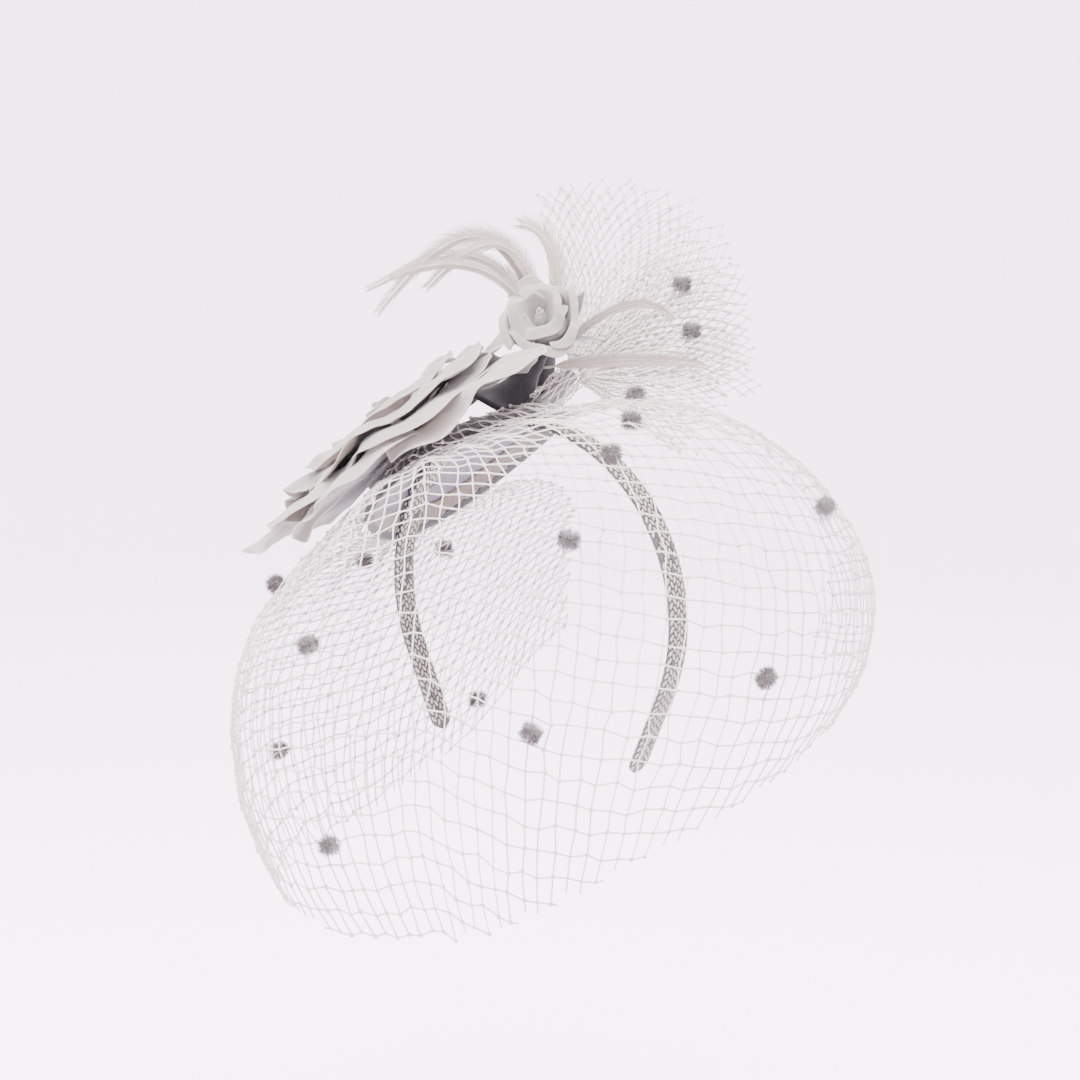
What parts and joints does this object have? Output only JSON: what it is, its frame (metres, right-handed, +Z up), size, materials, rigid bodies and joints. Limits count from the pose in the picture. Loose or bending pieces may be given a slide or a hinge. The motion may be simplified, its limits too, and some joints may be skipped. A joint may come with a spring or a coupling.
{
  "type": "fascinator headpiece",
  "caption": "Springy braided headband carrying an oval base with a fabric rose, a rosette, curled feathers, a dotted birdcage veil and a netting fan.",
  "frame": {"origin": "centre of the headband's arc, which is the middle of the head mount", "axes": "+X to the wearer's left ear, -Y to the face, +Z up; the headband's arc lies in the XZ plane"},
  "size_m": [0.2625, 0.2669, 0.2929],
  "materials": {
    "braid": "matte",
    "spring_strip": "satin",
    "base_felt": "matte",
    "lining": "matte",
    "taupe_ribbon": "matte",
    "dark_binding": "matte",
    "thread": "matte",
    "rose_fabric": "satin",
    "dark_felt": "matte",
    "rosette_fabric": "satin",
    "leaf_fabric": "matte",
    "feather": "matte",
    "netting": "matte",
    "chenille": "matte"
  },
  "bodies": {
    "crown": {"base_binding": "dark_binding", "base_disc": "base_felt", "base_lining": "lining", "base_stitches": "thread", "chenille_dots": "chenille", "crown_braid": "braid", "crown_strip": "spring_strip", "fan_gather": "thread", "fan_net": "netting", "feather_1": "feather", "feather_2": "feather", "feather_3": "feather", "feather_4": "feather", "feather_5": "feather", "feather_6": "feather", "feather_binding": "thread", "inner_petal_1": "rose_fabric", "inner_petal_2": "rose_fabric", "inner_petal_3": "rose_fabric", "inner_petal_4": "rose_fabric", "inner_petal_5": "rose_fabric", "leaf_1": "leaf_fabric", "leaf_2": "leaf_fabric", "lining_ribbon": "taupe_ribbon", "middle_petal_1": "rose_fabric", "middle_petal_2": "rose_fabric", "middle_petal_3": "rose_fabric", "middle_petal_4": "rose_fabric", "middle_petal_5": "rose_fabric", "outer_petal_1": "rose_fabric", "outer_petal_2": "rose_fabric", "outer_petal_3": "rose_fabric", "outer_petal_4": "rose_fabric", "outer_petal_5": "rose_fabric", "outer_petal_6": "rose_fabric", "rose_backing": "dark_felt", "rose_bud": "rose_fabric", "rose_felt_core": "dark_felt", "rosette_calyx": "dark_felt", "rosette_heart": "rosette_fabric", "rosette_inner_petal_1": "rosette_fabric", "rosette_inner_petal_2": "rosette_fabric", "rosette_inner_petal_3": "rosette_fabric", "rosette_outer_petal_1": "rosette_fabric", "rosette_outer_petal_2": "rosette_fabric", "rosette_outer_petal_3": "rosette_fabric", "rosette_outer_petal_4": "rosette_fabric", "rosette_stem": "dark_felt", "side_feather_1": "feather", "side_feather_2": "feather", "upper_petal_1": "rose_fabric", "upper_petal_2": "rose_fabric", "upper_petal_3": "rose_fabric", "upper_petal_4": "rose_fabric", "veil_net": "netting"},
    "flower_side_arm": {"flower_side_arm_braid": "braid", "flower_side_arm_strip": "spring_strip"},
    "plain_side_arm": {"plain_side_arm_braid": "braid", "plain_side_arm_strip": "spring_strip"}
  },
  "joints": [
    {"name": "flower_side_flex", "type": "hinge", "parent": "crown", "child": "flower_side_arm", "pos_m": [-0.07598, 0, 0.00799], "axis": [0, 1, 0], "range_deg": [-3, 8], "stiffness_Nm_per_rad": 4.3},
    {"name": "plain_side_flex", "type": "hinge", "parent": "crown", "child": "plain_side_arm", "pos_m": [0.06616, 0, 0.0382], "axis": [0, -1, 0], "range_deg": [-3, 8], "stiffness_Nm_per_rad": 4.3}
  ]
}
